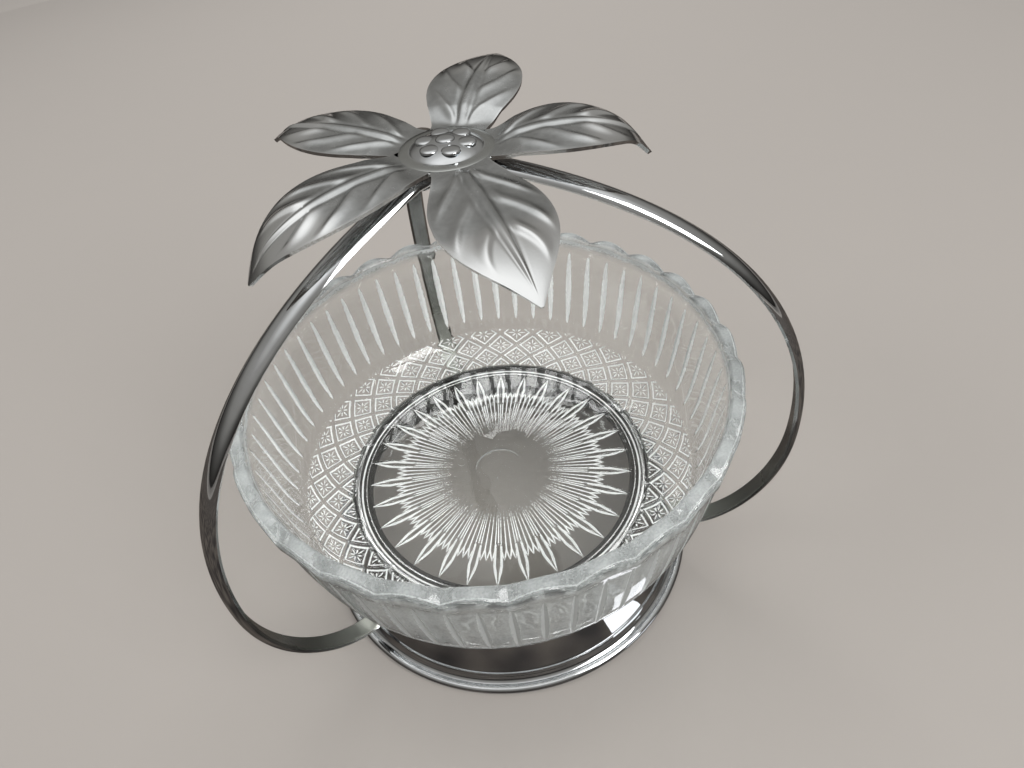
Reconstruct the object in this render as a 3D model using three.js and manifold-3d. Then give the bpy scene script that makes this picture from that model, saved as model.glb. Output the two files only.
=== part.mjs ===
// A bonbon dish: a pressed glass bowl that stands in a bright metal stand. The stand is a spun
// pedestal, three curved arms of half-round strip and a rosette of five stamped leaves on top.
// Millimetres, +Z up. The dish stands on z = 0, and the middle of its outline is over the origin.
import * as THREE from 'three';
import { mergeVertices } from 'three/addons/utils/BufferGeometryUtils.js';
import Module from 'manifold-3d';

const wasm = await Module();
wasm.setup();

// Clearances
const seat_gap = 0.3; // between two pieces that touch
const hole_gap = 0.2; // round a shank in its hole
const overrun = 1.0; // how far a cutter runs past the face that it cuts
const merge_gap = 0.0001; // points closer than this are one

// Glass bowl
const bowl_rim_radius = 65.2;
const bowl_height = 45.4; // to the tops of the rim's waves
const bowl_foot_radius = 42.4;
const bowl_foot_depth = 1.2; // the foot ring below the floor
const bowl_foot_width = 2.6;
const bowl_floor = 4.6;
const bowl_wall = 3.8;
const scallop_count = 30;
const scallop_rise = 2.4; // from the dip between two waves to a wave's top
const flute_depth = 0.5; // two flutes to a scallop
const bowl_turn = -0.3; // degrees, how the bowl happens to stand in the ring

// Pedestal
const sheet = 1.0;
const foot_radius = 56.4;
const foot_bead_radius = 1.3;
const foot_flat_width = 1.2; // the flat that the bead stands on
const brim_radius = 52.3; // where the wall meets the brim
const brim_height = 4.2;
const seat_height = 24.7; // top of the ledge that carries the bowl
const seat_lip_height = 1.6; // the rim of the recess that the bowl's foot drops into
const seat_lip_width = 2.0;
const seat_ledge_width = 3.6;
const seat_side_gap = 0.6; // all round the bowl's foot

// Arms
const arm_directions = [90, 207.6, 332.2]; // degrees; they stand a little unevenly
const arm_width = 5.6;
const arm_thickness = 2.2;
const arm_edge = 0.7; // how far the inner face's edges are rounded off
const arm_side_room = 12.7; // from the rim to the arm's inner face
const arm_widest_height = 52.1;
const arm_shoulder_pull = 46.7; // length of the upper curve's first handle
const arm_shoulder_rise = 39.4; // and of its last, above the widest place
const arm_shoulder_drop = 10.6; // how far the upper curve's first handle dips
const arm_hip_drop = 23.4; // the lower curve's handle, below the widest place
const arm_hip_pull = 10.9; // the lower curve's last handle, along and up
const arm_hip_lift = 1.5;
const arm_bend = 2.4; // length of strip on each side of its sharp bend
const arm_tab_length = 4.4; // the length that lies on the pedestal's wall
const arm_knee_height = 9.2; // where the arm comes to the pedestal's wall

// Hub, rosette and boss
const hub_height = 127.5; // underside of the hub plate
const hub_radius = 10.0;
const hub_thickness = 0.8;
const arm_hub_overlap = 5.5; // how far an arm reaches in under the hub plate
const rosette_radius = 10.4;
const rosette_sheet = 0.8;
const leaf_reach = 45.5; // from the axis to a leaf's tip
const leaf_half_width = 10.8;
const leaf_rise = 4.4; // highest crown above the rosette's middle
const leaf_tip_drop = 8.6; // lowest tip below the rosette's middle
const leaf_vault = 0.8; // edges below the midrib
const leaf_ridge = 0.5; // the midrib's own height
const boss_flange_radius = 9.6;
const boss_flange_thickness = 0.7;
const boss_dome_height = 0.5;
const boss_dome_radius = 6.3;
const berry_radius = 1.9;
const berry_ring_radius = 4.3;
const berry_count = 6; // round the middle one
const berry_rise = 0.2; // a berry's middle above the dome

// Fasteners
const rivet_radius = 1.0;
const rivet_head_radius = 1.9;
const rivet_head_height = 0.9;
const rivet_tail_radius = 1.6;
const rivet_tail_height = 0.5;
const screw_radius = 1.25;
const screw_head_radius = 2.4;
const screw_head_height = 1.5;
const screw_reach = 1.5; // into the boss
const screw_slot_width = 0.7;
const screw_slot_depth = 0.7;
const washer_radius = 3.2;
const washer_thickness = 0.5;

// Shapes as shares of the sizes above
// Outside of the glass: across from the foot to the rim, and up the bowl's height
const outside_shares = [[0.055, 0.041], [0.41, 0.063], [0.59, 0.108], [0.705, 0.203], [0.8, 0.36],
  [0.886, 0.6], [0.945, 0.83]];
// Inside of the glass: across the rim's inner radius, and up from the floor
const inside_shares = [[0.972, 0.7], [0.944, 0.37], [0.894, 0.135], [0.825, 0.026], [0.767, 0.0]];
const flute_start_share = 0.1; // up the bowl
// Half width of a leaf along its midrib, from the root to the tip
const leaf_width_shares = [[0, 0.38], [0.1, 0.54], [0.22, 0.82], [0.34, 0.98], [0.45, 1.0], [0.58, 0.88],
  [0.72, 0.66], [0.87, 0.35], [0.95, 0.16], [1, 0.04]];
// The midrib's curve: how far its two handles run along the leaf, and how far they stand over the crown
const leaf_root_handle_share = 0.36;
const leaf_tip_handle_share = 0.1;
const leaf_crown_share = 1.4;
const leaf_vault_start_share = 0.2; // of the midrib, where the vault is full
// Each leaf as it is bent: direction in degrees, then shares of the reach, the rise and the tip's drop
const leaf_shares = [
  [-13, 0.9, 0.62, 0.7],
  [-85.5, 0.99, -0.2, 0.57],
  [-159, 1.0, 0.36, 1.0],
  [137, 0.99, 0.36, 0.3],
  [60, 0.93, 1.0, 0.0],
];

// Fineness
const turn_steps = 48;
const bowl_steps_per_scallop = 4;
const round_steps = 3; // round an edge
const arm_steps = 42;
const leaf_steps = 14;
const leaf_cross_steps = 6;
const small_turn_steps = 12;
const berry_steps = 10;

const degree = Math.PI / 180;

const finishes = {
  glass: new THREE.MeshStandardMaterial({ color: 0xdfe8e4, roughness: 0.05, metalness: 0.0 }),
  chrome: new THREE.MeshStandardMaterial({ color: 0xc9cbcc, roughness: 0.08, metalness: 1.0 }),
  leaf_metal: new THREE.MeshStandardMaterial({ color: 0x8f8d86, roughness: 0.42, metalness: 1.0 }),
  steel: new THREE.MeshStandardMaterial({ color: 0x9b9c9b, roughness: 0.3, metalness: 1.0 }),
};

// A closed geometry with its vertices shared, holding positions alone.
function closed(geometry) {
  const plain = geometry.clone();
  plain.deleteAttribute('normal');
  plain.deleteAttribute('uv');
  return mergeVertices(plain, merge_gap);
}

function to_solid(geometry) {
  const merged = closed(geometry);
  return new wasm.Manifold(new wasm.Mesh({
    numProp: 3,
    vertProperties: new Float32Array(merged.attributes.position.array),
    triVerts: new Uint32Array(merged.index.array),
  }));
}

function to_geometry(solid) {
  const cut = solid.getMesh();
  const geometry = new THREE.BufferGeometry();
  geometry.setAttribute('position', new THREE.BufferAttribute(new Float32Array(cut.vertProperties), 3));
  geometry.setIndex(new THREE.BufferAttribute(new Uint32Array(cut.triVerts), 1));
  geometry.computeVertexNormals();
  return geometry;
}

// A turned piece about Z, from [radius, height] points listed from the lower end of the axis
// round the outside to its upper end, or counter-clockwise round a closed ring.
function turned(points, steps = turn_steps) {
  const profile = points.map(([radius, height]) => new THREE.Vector2(radius, height));
  const geometry = new THREE.LatheGeometry(profile, steps);
  geometry.rotateX(Math.PI / 2);
  return geometry;
}

function rod(radius, low, high) {
  return turned([[0, low], [radius, low], [radius, high], [0, high]], small_turn_steps);
}

function arc(centre, radius, from, to, steps = round_steps) {
  const points = [];
  for (let i = 0; i <= steps; i += 1) {
    const angle = (from + ((to - from) * i) / steps) * degree;
    points.push([centre[0] + radius * Math.cos(angle), centre[1] + radius * Math.sin(angle)]);
  }
  return points;
}

function piece(name, geometry, finish) {
  const mesh = new THREE.Mesh(geometry, finish.clone());
  mesh.name = name;
  return mesh;
}

function smooth(value) {
  const clamped = Math.min(Math.max(value, 0), 1);
  return clamped * clamped * (3 - 2 * clamped);
}

// Glass bowl, drawn with the underside of its foot ring at z = 0

function bowl_geometry() {
  const floor_top = bowl_foot_depth + bowl_floor;
  const inner_radius = bowl_rim_radius - bowl_wall;
  const rim_round = bowl_wall / 2;
  const foot = [
    [0, bowl_foot_depth],
    [bowl_foot_radius - bowl_foot_width - bowl_foot_depth, bowl_foot_depth],
    [bowl_foot_radius - bowl_foot_width, 0],
    [bowl_foot_radius, 0],
  ];
  const outside = outside_shares.map(([across, up]) => [
    bowl_foot_radius + across * (bowl_rim_radius - bowl_foot_radius), up * bowl_height]);
  const rim = arc([bowl_rim_radius - rim_round, bowl_height - rim_round], rim_round, 0, 180);
  const inside = inside_shares.map(([across, up]) => [
    across * inner_radius, floor_top + up * (bowl_height - floor_top)]);
  const profile = [...foot, ...outside, ...rim, ...inside, [0, floor_top]];
  const first_outside = foot.length;
  const last_outside = first_outside + outside.length - 1;
  const last_rim = last_outside + rim.length;
  const geometry = turned(profile, scallop_count * bowl_steps_per_scallop);
  const place = geometry.attributes.position;
  for (let i = 0; i < place.count; i += 1) {
    const along = i % profile.length;
    const x = place.getX(i);
    const y = place.getY(i);
    const radius = Math.hypot(x, y);
    if (radius < bowl_foot_radius / 2) continue;
    const angle = Math.atan2(y, x);
    const height = place.getZ(i);
    if (along > last_outside && along <= last_rim) {
      place.setZ(i, height - scallop_rise * (1 - Math.abs(Math.cos((scallop_count * angle) / 2))));
    }
    if (along >= first_outside && along <= last_outside && height > flute_start_share * bowl_height) {
      const cut = (flute_depth / 2) * (1 + Math.cos(2 * scallop_count * angle));
      place.setXY(i, x * (1 - cut / radius), y * (1 - cut / radius));
    }
  }
  geometry.rotateZ(bowl_turn * degree);
  return to_geometry(to_solid(geometry));
}

// Pedestal

const recess_radius = bowl_foot_radius + seat_side_gap;
const lip_radius = recess_radius + seat_lip_width;
const lip_round = seat_lip_width / 2;
const wall_top = seat_height + seat_lip_height - lip_round;
const wall_run = brim_radius - lip_radius;
const wall_fall = wall_top - brim_height;
const wall_length = Math.hypot(wall_run, wall_fall);
const wall_out = [wall_fall / wall_length, wall_run / wall_length]; // square to the wall, outwards
const wall_up = [-wall_run / wall_length, wall_fall / wall_length]; // along the wall, upwards

// A place off the wall's outer face, on the side away from the axis.
function off_wall(height, distance) {
  const radius = lip_radius + (wall_run * (wall_top - height)) / wall_fall;
  return [radius + distance * wall_out[0], height + distance * wall_out[1]];
}

function pedestal_solid() {
  const bead_centre = foot_radius - foot_bead_radius;
  const flat = foot_flat_width / 2;
  const ledge_radius = bowl_foot_radius - seat_ledge_width;
  const wall_across = sheet / wall_out[0]; // the sheet's thickness, measured level
  const ledge_under = seat_height - sheet;
  const profile = [
    [bead_centre - flat, 0],
    [bead_centre + flat, 0],
    ...arc([bead_centre, foot_bead_radius], foot_bead_radius, -30, 90),
    [brim_radius, brim_height],
    ...arc([lip_radius - lip_round, wall_top], lip_round, 0, 180),
    [recess_radius, seat_height],
    [ledge_radius, seat_height],
    [ledge_radius, ledge_under],
    [off_wall(ledge_under, 0)[0] - wall_across, ledge_under],
    [brim_radius - wall_across, brim_height],
    [bead_centre - foot_bead_radius, foot_bead_radius],
  ];
  return to_solid(turned([...profile, profile[0]]));
}

// Arms, drawn in the XZ plane from the hub down to the pedestal, whose wall the tab lies on

const arm_reach = bowl_rim_radius + arm_side_room + arm_thickness / 2;
const arm_top = hub_height - seat_gap - arm_thickness / 2;
const arm_inner_end = hub_radius - arm_hub_overlap;
const hip_length = Math.hypot(arm_hip_pull, arm_hip_lift);
const knee = off_wall(arm_knee_height, seat_gap + arm_thickness / 2);
const hip = [
  knee[0] + (arm_bend * arm_hip_pull) / hip_length,
  knee[1] + (arm_bend * arm_hip_lift) / hip_length,
];
const tab_start = [knee[0] + arm_bend * wall_up[0], knee[1] + arm_bend * wall_up[1]];
const tab_end = [tab_start[0] + arm_tab_length * wall_up[0], tab_start[1] + arm_tab_length * wall_up[1]];

function arm_path() {
  const point = (radius, height) => new THREE.Vector3(radius, 0, height);
  const path = new THREE.CurvePath();
  path.add(new THREE.LineCurve3(point(arm_inner_end, arm_top), point(hub_radius, arm_top)));
  path.add(new THREE.CubicBezierCurve3(
    point(hub_radius, arm_top), point(hub_radius + arm_shoulder_pull, arm_top - arm_shoulder_drop),
    point(arm_reach, arm_widest_height + arm_shoulder_rise), point(arm_reach, arm_widest_height)));
  path.add(new THREE.CubicBezierCurve3(
    point(arm_reach, arm_widest_height), point(arm_reach, arm_widest_height - arm_hip_drop),
    point(hip[0] + arm_hip_pull, hip[1] + arm_hip_lift), point(...hip)));
  path.add(new THREE.QuadraticBezierCurve3(point(...hip), point(...knee), point(...tab_start)));
  path.add(new THREE.LineCurve3(point(...tab_start), point(...tab_end)));
  return path;
}

// Half-round strip: x runs through its thickness to the flat inner face, y across its width.
function arm_section() {
  const side = arm_width / 2;
  const flat = arm_thickness / 2;
  const section = new THREE.Shape();
  section.moveTo(flat, -side + arm_edge);
  section.lineTo(flat, side - arm_edge);
  section.lineTo(flat - arm_edge, side);
  section.quadraticCurveTo(-flat, side - arm_edge, -flat, 0);
  section.quadraticCurveTo(-flat, -side + arm_edge, flat - arm_edge, -side);
  return section;
}

// Rivets: a head below z = 0, a shank up through the pieces, and a tail at the far end

function rivet_profile(grip, flush) {
  const head = arc([0, 0], 1, -90, 0).map(([across, up]) => [
    across * rivet_head_radius, up * rivet_head_height]);
  const spread = rivet_tail_radius - rivet_radius;
  const tail = flush
    ? [[rivet_radius, grip - spread], [rivet_tail_radius, grip], [0, grip]]
    : [[rivet_radius, grip], [rivet_tail_radius, grip], [rivet_radius, grip + rivet_tail_height],
      [0, grip + rivet_tail_height]];
  return [...head, [rivet_radius, 0], ...tail];
}

const tab_rivet_grip = arm_thickness + sheet + 3 * seat_gap;
const hub_rivet_grip = arm_thickness + hub_thickness + 2 * seat_gap;
const hub_rivet_radius = (arm_inner_end + hub_radius) / 2;

// Turns a piece drawn along Z so that it runs into the wall from outside, at the middle of a tab.
function into_wall(geometry) {
  const middle = [(tab_start[0] + tab_end[0]) / 2, (tab_start[1] + tab_end[1]) / 2];
  const start = arm_thickness / 2 + seat_gap;
  const set = geometry.clone();
  set.rotateY(Math.atan2(-wall_out[0], -wall_out[1]));
  set.translate(middle[0] + start * wall_out[0], 0, middle[1] + start * wall_out[1]);
  return set;
}

function under_hub(geometry) {
  const set = geometry.clone();
  set.translate(hub_rivet_radius, 0, arm_top - arm_thickness / 2 - seat_gap);
  return set;
}

function about_axis(geometry, degrees) {
  const set = geometry.clone();
  set.rotateZ(degrees * degree);
  return set;
}

const rivet_hole = rivet_radius + hole_gap;
const tab_drill = into_wall(rod(rivet_hole, -overrun, tab_rivet_grip + overrun));
const hub_drill = under_hub(rod(rivet_hole, -overrun, hub_rivet_grip + overrun));

function arm_geometry() {
  const bar = new THREE.ExtrudeGeometry(arm_section(), {
    steps: arm_steps, curveSegments: round_steps, extrudePath: arm_path() });
  return to_geometry(to_solid(bar).subtract(to_solid(tab_drill)).subtract(to_solid(hub_drill)));
}

function pedestal_geometry() {
  let solid = pedestal_solid();
  for (const direction of arm_directions) solid = solid.subtract(to_solid(about_axis(tab_drill, direction)));
  return to_geometry(solid);
}

// Hub plate and its screw

function hub_plate_geometry() {
  const top = hub_height + hub_thickness;
  const spread = rivet_tail_radius - rivet_radius;
  const sink = turned([[0, top - spread - hole_gap], [rivet_hole, top - spread - hole_gap],
    [rivet_tail_radius + hole_gap, top], [rivet_tail_radius + hole_gap, top + overrun],
    [0, top + overrun]], small_turn_steps);
  let solid = to_solid(turned([[0, hub_height], [hub_radius, hub_height], [hub_radius, top], [0, top]]));
  solid = solid.subtract(to_solid(rod(screw_radius + hole_gap, hub_height - overrun, top + overrun)));
  sink.translate(hub_rivet_radius, 0, 0);
  for (const direction of arm_directions) {
    solid = solid.subtract(to_solid(about_axis(hub_drill, direction)));
    solid = solid.subtract(to_solid(about_axis(sink, direction)));
  }
  return to_geometry(solid);
}

const washer_top = hub_height - seat_gap;
const screw_seat = washer_top - washer_thickness - seat_gap;
const rosette_bottom = hub_height + hub_thickness + seat_gap;
const rosette_top = rosette_bottom + rosette_sheet;
const boss_bottom = rosette_top + seat_gap;

function washer_geometry() {
  const low = washer_top - washer_thickness;
  const disc = turned([[0, low], [washer_radius, low], [washer_radius, washer_top], [0, washer_top]]);
  const hole = rod(screw_radius + hole_gap, low - overrun, washer_top + overrun);
  return to_geometry(to_solid(disc).subtract(to_solid(hole)));
}

function screw_geometry() {
  const end = boss_bottom + screw_reach;
  const low = screw_seat - screw_head_height;
  const chamfer = screw_slot_depth / 2;
  const body = to_solid(turned([
    [0, low], [screw_head_radius - chamfer, low], [screw_head_radius, low + chamfer],
    [screw_head_radius, screw_seat], [screw_radius, screw_seat], [screw_radius, end], [0, end],
  ], small_turn_steps));
  const slot_length = 2 * (screw_head_radius + overrun);
  const slot = new THREE.BoxGeometry(slot_length, screw_slot_width, 2 * screw_slot_depth);
  slot.translate(0, 0, low);
  return to_geometry(body.subtract(to_solid(slot)));
}

// Leaf rosette, one stamped sheet: a disc with a hole and five vaulted leaves

function leaf_middle([, reach_share, rise_share, drop_share]) {
  const reach = leaf_reach * reach_share;
  const handle = rosette_top + leaf_rise * rise_share * leaf_crown_share;
  const root = rosette_radius - rosette_sheet;
  const span = reach - root;
  return new THREE.CubicBezierCurve(
    new THREE.Vector2(root, rosette_top), new THREE.Vector2(root + span * leaf_root_handle_share, handle),
    new THREE.Vector2(reach - span * leaf_tip_handle_share, handle),
    new THREE.Vector2(reach, rosette_top - leaf_tip_drop * drop_share));
}

function share_at(table, along) {
  const next = table.findIndex(([place]) => place >= along);
  if (next <= 0) return table[Math.max(next, 0)][1];
  const [before, after] = [table[next - 1], table[next]];
  return before[1] + ((after[1] - before[1]) * (along - before[0])) / (after[0] - before[0]);
}

function leaf_geometry(pose) {
  const middle = leaf_middle(pose);
  const top = [];
  const bottom = [];
  for (let i = 0; i <= leaf_steps; i += 1) {
    const along = i / leaf_steps;
    const point = middle.getPointAt(along);
    const tangent = middle.getTangentAt(along);
    const half_width = leaf_half_width * share_at(leaf_width_shares, along);
    for (let j = 0; j <= leaf_cross_steps; j += 1) {
      const across = (2 * j) / leaf_cross_steps - 1;
      const fall = (leaf_vault * across * across * half_width) / leaf_half_width;
      const middle_row = Math.max(0, 1 - leaf_cross_steps * Math.abs(across));
      const ridge = leaf_ridge * middle_row * Math.sin(Math.PI * along);
      const sink = fall * smooth(along / leaf_vault_start_share) - ridge;
      top.push(point.x + sink * tangent.y, across * half_width, point.y - sink * tangent.x);
      const under = sink + rosette_sheet;
      bottom.push(point.x + under * tangent.y, across * half_width, point.y - under * tangent.x);
    }
  }
  const row = leaf_cross_steps + 1;
  const lower = row * (leaf_steps + 1);
  const faces = [];
  const quad = (a, b, c, d) => faces.push(a, b, c, a, c, d);
  for (let i = 0; i < leaf_steps; i += 1) {
    for (let j = 0; j < leaf_cross_steps; j += 1) {
      const at = i * row + j;
      quad(at, at + row, at + row + 1, at + 1);
      quad(lower + at, lower + at + 1, lower + at + row + 1, lower + at + row);
    }
    const [first, last] = [i * row, i * row + leaf_cross_steps];
    quad(first, lower + first, lower + first + row, first + row);
    quad(last, last + row, lower + last + row, lower + last);
  }
  const tip = leaf_steps * row;
  for (let j = 0; j < leaf_cross_steps; j += 1) {
    quad(j, j + 1, lower + j + 1, lower + j);
    quad(tip + j, lower + tip + j, lower + tip + j + 1, tip + j + 1);
  }
  const geometry = new THREE.BufferGeometry();
  geometry.setAttribute('position', new THREE.BufferAttribute(new Float32Array([...top, ...bottom]), 3));
  geometry.setIndex(faces);
  return about_axis(geometry, pose[0]);
}

function rosette_geometry() {
  const disc = turned([[0, rosette_bottom], [rosette_radius, rosette_bottom],
    [rosette_radius, rosette_top], [0, rosette_top]]);
  let solid = to_solid(disc);
  for (const pose of leaf_shares) solid = solid.add(to_solid(leaf_geometry(pose)));
  const hole = rod(screw_radius + hole_gap, rosette_bottom - overrun, rosette_top + overrun);
  return to_geometry(solid.subtract(to_solid(hole)));
}

function boss_geometry() {
  const flange_top = boss_bottom + boss_flange_thickness;
  const dome_top = flange_top + boss_dome_height;
  const base = turned([
    [0, boss_bottom], [boss_flange_radius, boss_bottom],
    [boss_flange_radius, boss_bottom + boss_flange_thickness / 2],
    [boss_flange_radius - boss_flange_thickness / 2, flange_top],
    [boss_dome_radius, flange_top], [boss_dome_radius - boss_dome_height, dome_top], [0, dome_top],
  ]);
  let solid = to_solid(base);
  const berry = new THREE.SphereGeometry(berry_radius, berry_steps, berry_steps / 2);
  for (let i = 0; i <= berry_count; i += 1) {
    const angle = (2 * Math.PI * i) / berry_count;
    const out = i === berry_count ? 0 : berry_ring_radius;
    const set = berry.clone();
    set.rotateX(Math.PI / 2);
    set.translate(out * Math.cos(angle), out * Math.sin(angle), dome_top + berry_rise);
    solid = solid.add(to_solid(set));
  }
  const hole = rod(screw_radius + hole_gap, boss_bottom - overrun, boss_bottom + screw_reach + seat_gap);
  const below = rod(boss_flange_radius, boss_bottom - 2 * berry_radius, boss_bottom);
  return to_geometry(solid.subtract(to_solid(hole)).subtract(to_solid(below)));
}

// The assembly

function build() {
  const stand = new THREE.Group();
  stand.add(piece('pedestal', pedestal_geometry(), finishes.chrome));
  const arm = arm_geometry();
  const tab_rivet = into_wall(turned(rivet_profile(tab_rivet_grip, false), small_turn_steps));
  const hub_rivet = under_hub(turned(rivet_profile(hub_rivet_grip, true), small_turn_steps));
  arm_directions.forEach((direction, i) => {
    const side = ['back', 'left', 'right'][i] || `extra_${i}`;
    const spoke = new THREE.Group();
    spoke.rotation.z = direction * degree;
    spoke.add(piece(`arm_${side}`, arm, finishes.chrome));
    spoke.add(piece(`pedestal_rivet_${side}`, to_geometry(to_solid(tab_rivet)), finishes.steel));
    spoke.add(piece(`hub_rivet_${side}`, to_geometry(to_solid(hub_rivet)), finishes.steel));
    stand.add(spoke);
  });
  stand.add(piece('hub_plate', hub_plate_geometry(), finishes.steel));
  stand.add(piece('hub_washer', washer_geometry(), finishes.steel));
  stand.add(piece('hub_screw', screw_geometry(), finishes.steel));
  stand.add(piece('leaf_rosette', rosette_geometry(), finishes.leaf_metal));
  stand.add(piece('berry_boss', boss_geometry(), finishes.chrome));

  const bowl = piece('glass_bowl', bowl_geometry(), finishes.glass);
  bowl.position.z = seat_height + seat_gap;

  // The bowl's axis stands off the origin, so that the middle of the whole outline is over it.
  const dish = new THREE.Group();
  dish.add(stand, bowl);
  dish.updateMatrixWorld(true);
  const outline = new THREE.Box3().setFromObject(dish, true);
  const middle = outline.getCenter(new THREE.Vector3());
  dish.position.set(-middle.x, -middle.y, 0);
  return dish;
}

export default build();
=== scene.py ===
import math

import bpy
import numpy as np
from mathutils import Matrix, Vector


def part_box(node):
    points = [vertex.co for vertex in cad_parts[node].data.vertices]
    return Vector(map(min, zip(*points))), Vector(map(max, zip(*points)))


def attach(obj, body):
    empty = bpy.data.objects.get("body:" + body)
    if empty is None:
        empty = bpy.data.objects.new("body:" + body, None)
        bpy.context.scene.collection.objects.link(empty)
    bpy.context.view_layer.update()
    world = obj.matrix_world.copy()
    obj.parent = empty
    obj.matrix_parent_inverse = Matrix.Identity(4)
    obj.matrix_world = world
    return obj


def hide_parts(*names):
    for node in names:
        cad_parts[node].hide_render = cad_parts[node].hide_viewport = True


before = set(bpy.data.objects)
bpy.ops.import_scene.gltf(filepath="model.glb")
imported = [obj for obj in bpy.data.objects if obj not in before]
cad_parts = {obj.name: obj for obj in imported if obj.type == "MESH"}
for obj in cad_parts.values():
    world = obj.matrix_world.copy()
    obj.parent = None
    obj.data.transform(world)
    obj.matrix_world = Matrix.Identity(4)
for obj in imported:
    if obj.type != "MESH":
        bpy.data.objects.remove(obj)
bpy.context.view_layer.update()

# Sizes are in metres, in the frame of the CAD model. The dish stands on z = 0.

MM = 0.001
FULL_TURN = 2 * math.pi
WELD = 0.002 * MM  # points closer than this are one

# The lowest and the highest corners of the CAD nodes that give the sizes
bowl_low, bowl_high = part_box("glass_bowl")
stand_low, stand_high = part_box("pedestal")
plate_low, plate_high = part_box("hub_plate")
boss_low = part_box("berry_boss")[0]
arm_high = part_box("arm_back")[1]

axis_x, axis_y, _ = (plate_low + plate_high) / 2  # everything is turned about this upright axis
touch_gap = 0.3 * MM  # between two pieces that touch

# Glass bowl
scallops = 30
rim_radius = (bowl_high.x - bowl_low.x) / 2
bowl_bottom = bowl_low.z
bowl_height = bowl_high.z - bowl_low.z
bowl_turn = math.radians(-0.3)
scallop_rise = 2.4 * MM
ring_radius = 42.4 * MM  # outside of the foot ring
ring_depth = 1.2 * MM
floor_thickness = 4.6 * MM
wall_thickness = 3.8 * MM

# Pedestal
foot_radius = (stand_high.x - stand_low.x) / 2
bead_radius = 1.3 * MM
brim_radius = 52.3 * MM
brim_height = 4.2 * MM
sheet = 1.0 * MM
seat_height = bowl_bottom - touch_gap
lip_width = 2.0 * MM
lip_height = 1.6 * MM
ledge_width = 3.6 * MM
seat_side_gap = 0.6 * MM
recess_radius = ring_radius + seat_side_gap
lip_radius = recess_radius + lip_width
lip_round = lip_width / 2
wall_top = seat_height + lip_height - lip_round

# Arms
arm_directions = [math.radians(90), math.radians(207.6), math.radians(332.2)]
arm_width = 5.6 * MM
arm_thickness = 2.2 * MM
arm_edge = 0.7 * MM
arm_box_room = 0.06 * MM  # the smooth arm stays this far inside the CAD arm's box
arm_reach = arm_high.y - axis_y - arm_thickness / 2 - arm_box_room
arm_top = arm_high.z - arm_thickness / 2

# Hub, rosette and boss
hub_radius = (plate_high.x - plate_low.x) / 2
rosette_bottom = plate_high.z + touch_gap
rosette_top = boss_low.z - touch_gap
rosette_sheet = rosette_top - rosette_bottom
rosette_radius = 10.4 * MM


# Tools

def feed(node, inputs):
    """Gives inputs, by name or number, a value or a link from another node's output."""
    for name, value in inputs.items():
        if isinstance(value, bpy.types.NodeSocket):
            node.id_data.links.new(value, node.inputs[name])
        else:
            node.inputs[name].default_value = value


def add(tree, kind, inputs=None, stops=(), out=0, **settings):
    """Adds one node and gives back one of its outputs. Stops are the places and hex colours of a
    colour ramp."""
    made = tree.nodes.new("ShaderNode" + kind)
    for name, value in settings.items():
        setattr(made, name, value)
    feed(made, inputs or {})
    for i, (place, colour) in enumerate(stops):
        elements = made.color_ramp.elements
        element = elements[i] if i < 2 else elements.new(place)
        element.position = place
        element.color = linear(colour)
    return made.outputs[out]


def linear(colour):
    """An sRGB hex colour as linear red, green, blue and alpha."""
    parts = [int(colour[i:i + 2], 16) / 255 for i in (1, 3, 5)]
    return [c / 12.92 if c <= 0.04045 else ((c + 0.055) / 1.055) ** 2.4 for c in parts] + [1.0]


def in_scene(name, data, matrix):
    obj = bpy.data.objects.new(name, data)
    bpy.context.scene.collection.objects.link(obj)
    obj.matrix_world = matrix
    return obj


def nothing_selected():
    bpy.ops.object.select_all(action="DESELECT")


def only(obj):
    nothing_selected()
    obj.select_set(True)
    bpy.context.view_layer.objects.active = obj


def applied(obj):
    """Puts an object's place into its mesh."""
    only(obj)
    bpy.ops.object.transform_apply()
    return obj


def joined(name, objs):
    only(objs[0])
    for obj in objs[1:]:
        obj.select_set(True)
    bpy.ops.object.join()
    objs[0].name = name
    return objs[0]


def edit_whole():
    """Opens the object in hand for editing, with all of it selected."""
    bpy.ops.object.mode_set(mode="EDIT")
    bpy.ops.mesh.select_all(action="SELECT")


def weld():
    """Merges the doubled points of the object in hand and turns its faces outwards."""
    edit_whole()
    bpy.ops.mesh.remove_doubles(threshold=WELD)
    bpy.ops.mesh.normals_make_consistent(inside=False)
    bpy.ops.object.mode_set(mode="OBJECT")


def placed(obj, body, material, node, smooth_degrees):
    """Shades a finished piece, gives it its body, slot and material, and lets it stand for its node."""
    only(obj)
    bpy.ops.object.shade_smooth_by_angle(angle=math.radians(smooth_degrees))
    obj.data.materials.clear()
    obj.data.materials.append(material)
    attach(obj, body)
    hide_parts(node)


def dressed(name, material):
    """Gives a CAD node that stays a better finish."""
    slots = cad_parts[name].data.materials
    for i in range(len(slots)):
        slots[i] = material


def arc(across, up, radius, start, end, steps):
    """Points on an arc round (across, up), from a start to an end angle in degrees."""
    angles = [math.radians(start + (end - start) * i / steps) for i in range(steps + 1)]
    return [(across + radius * math.cos(a), up + radius * math.sin(a)) for a in angles]


def run_of(line):
    """How far along a line each of its points lies."""
    return np.concatenate([[0], np.cumsum(np.linalg.norm(np.diff(line, axis=0), axis=1))])


def even_steps(line, count):
    run = run_of(line)
    at = np.linspace(0, run[-1], count)
    return np.column_stack([np.interp(at, run, column) for column in line.T])


def directions(line):
    """The direction of a line at each of its points."""
    step = np.gradient(line, axis=0)
    return step / np.maximum(np.linalg.norm(step, axis=1, keepdims=True), 1e-9)


def bezier(a, b, c, d, share):
    """The point at a share of the way from a to d, on the curve with the handles b and c."""
    rest = 1 - share
    return a * rest ** 3 + b * 3 * rest ** 2 * share + c * 3 * rest * share ** 2 + d * share ** 3


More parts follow.
